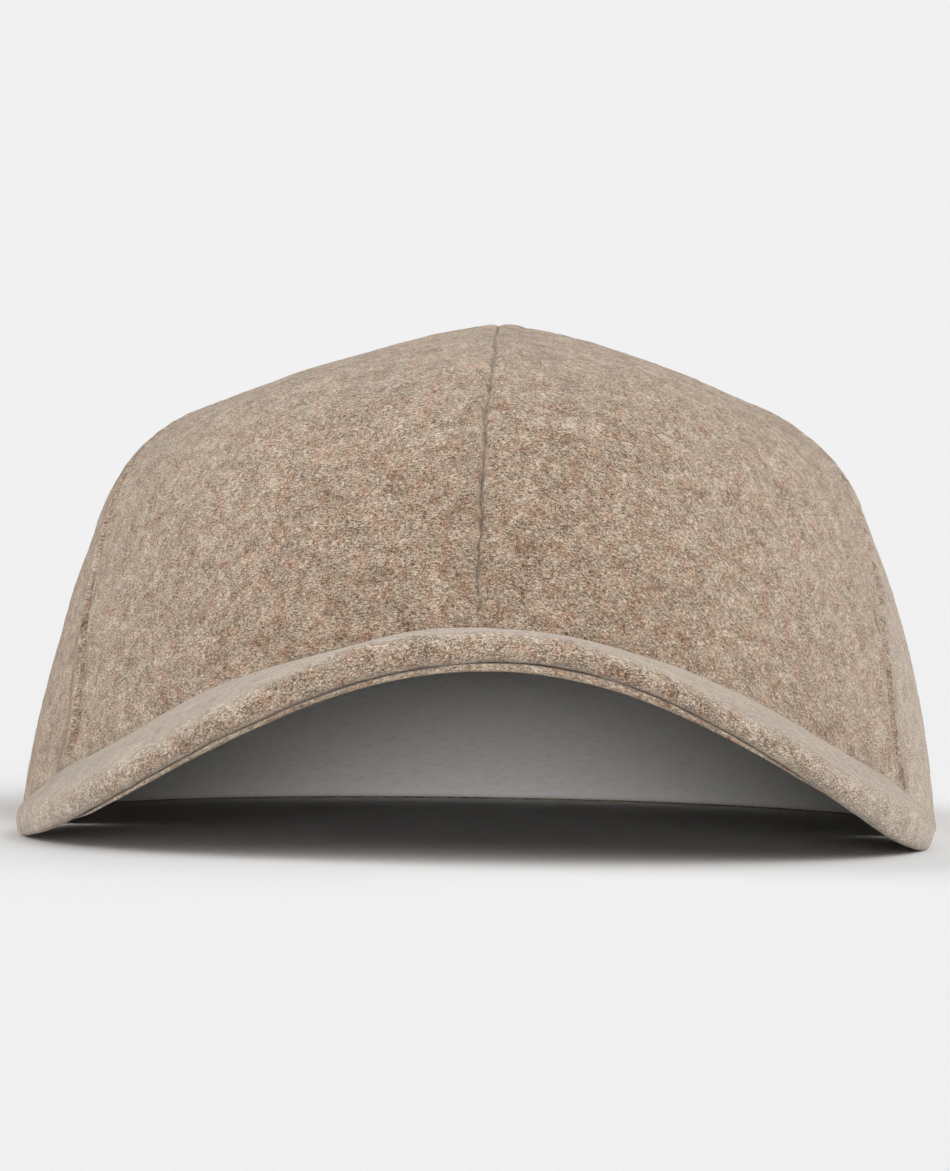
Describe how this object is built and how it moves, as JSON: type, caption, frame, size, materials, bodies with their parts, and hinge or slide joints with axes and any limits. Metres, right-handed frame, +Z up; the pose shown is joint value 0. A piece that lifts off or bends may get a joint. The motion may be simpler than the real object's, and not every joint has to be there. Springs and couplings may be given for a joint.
{
  "type": "peaked cap",
  "caption": "Soft wool cap with a panelled, slightly slumped crown, a strongly arched stiff peak with a rolled edge, an inner sweatband and a cloth-covered button.",
  "frame": {"origin": "centre of the bounding box's underside, on the surface that the cap lies on", "axes": "+Z up from the hem to the top, +Y from the peak's front edge to the back of the crown, +X towards the wearer's left"},
  "size_m": [0.1784, 0.2698, 0.0967],
  "materials": {
    "crown_wool": "heathered beige and brown brushed wool flannel, matt with a soft fuzz",
    "peak_wool": "the same brushed wool flannel, stretched over the peak's board and rolled round its edge",
    "band_cloth": "plain pale grey woven cotton, matt"
  },
  "bodies": {
    "root": {"front_panel_left": "crown_wool", "front_panel_right": "crown_wool", "side_panel_left": "crown_wool", "side_panel_right": "crown_wool", "back_panel_left": "crown_wool", "back_panel_right": "crown_wool", "peak_upper_cover": "peak_wool", "peak_lower_cover": "peak_wool", "sweatband": "band_cloth", "top_button": "crown_wool"}
  },
  "joints": []
}
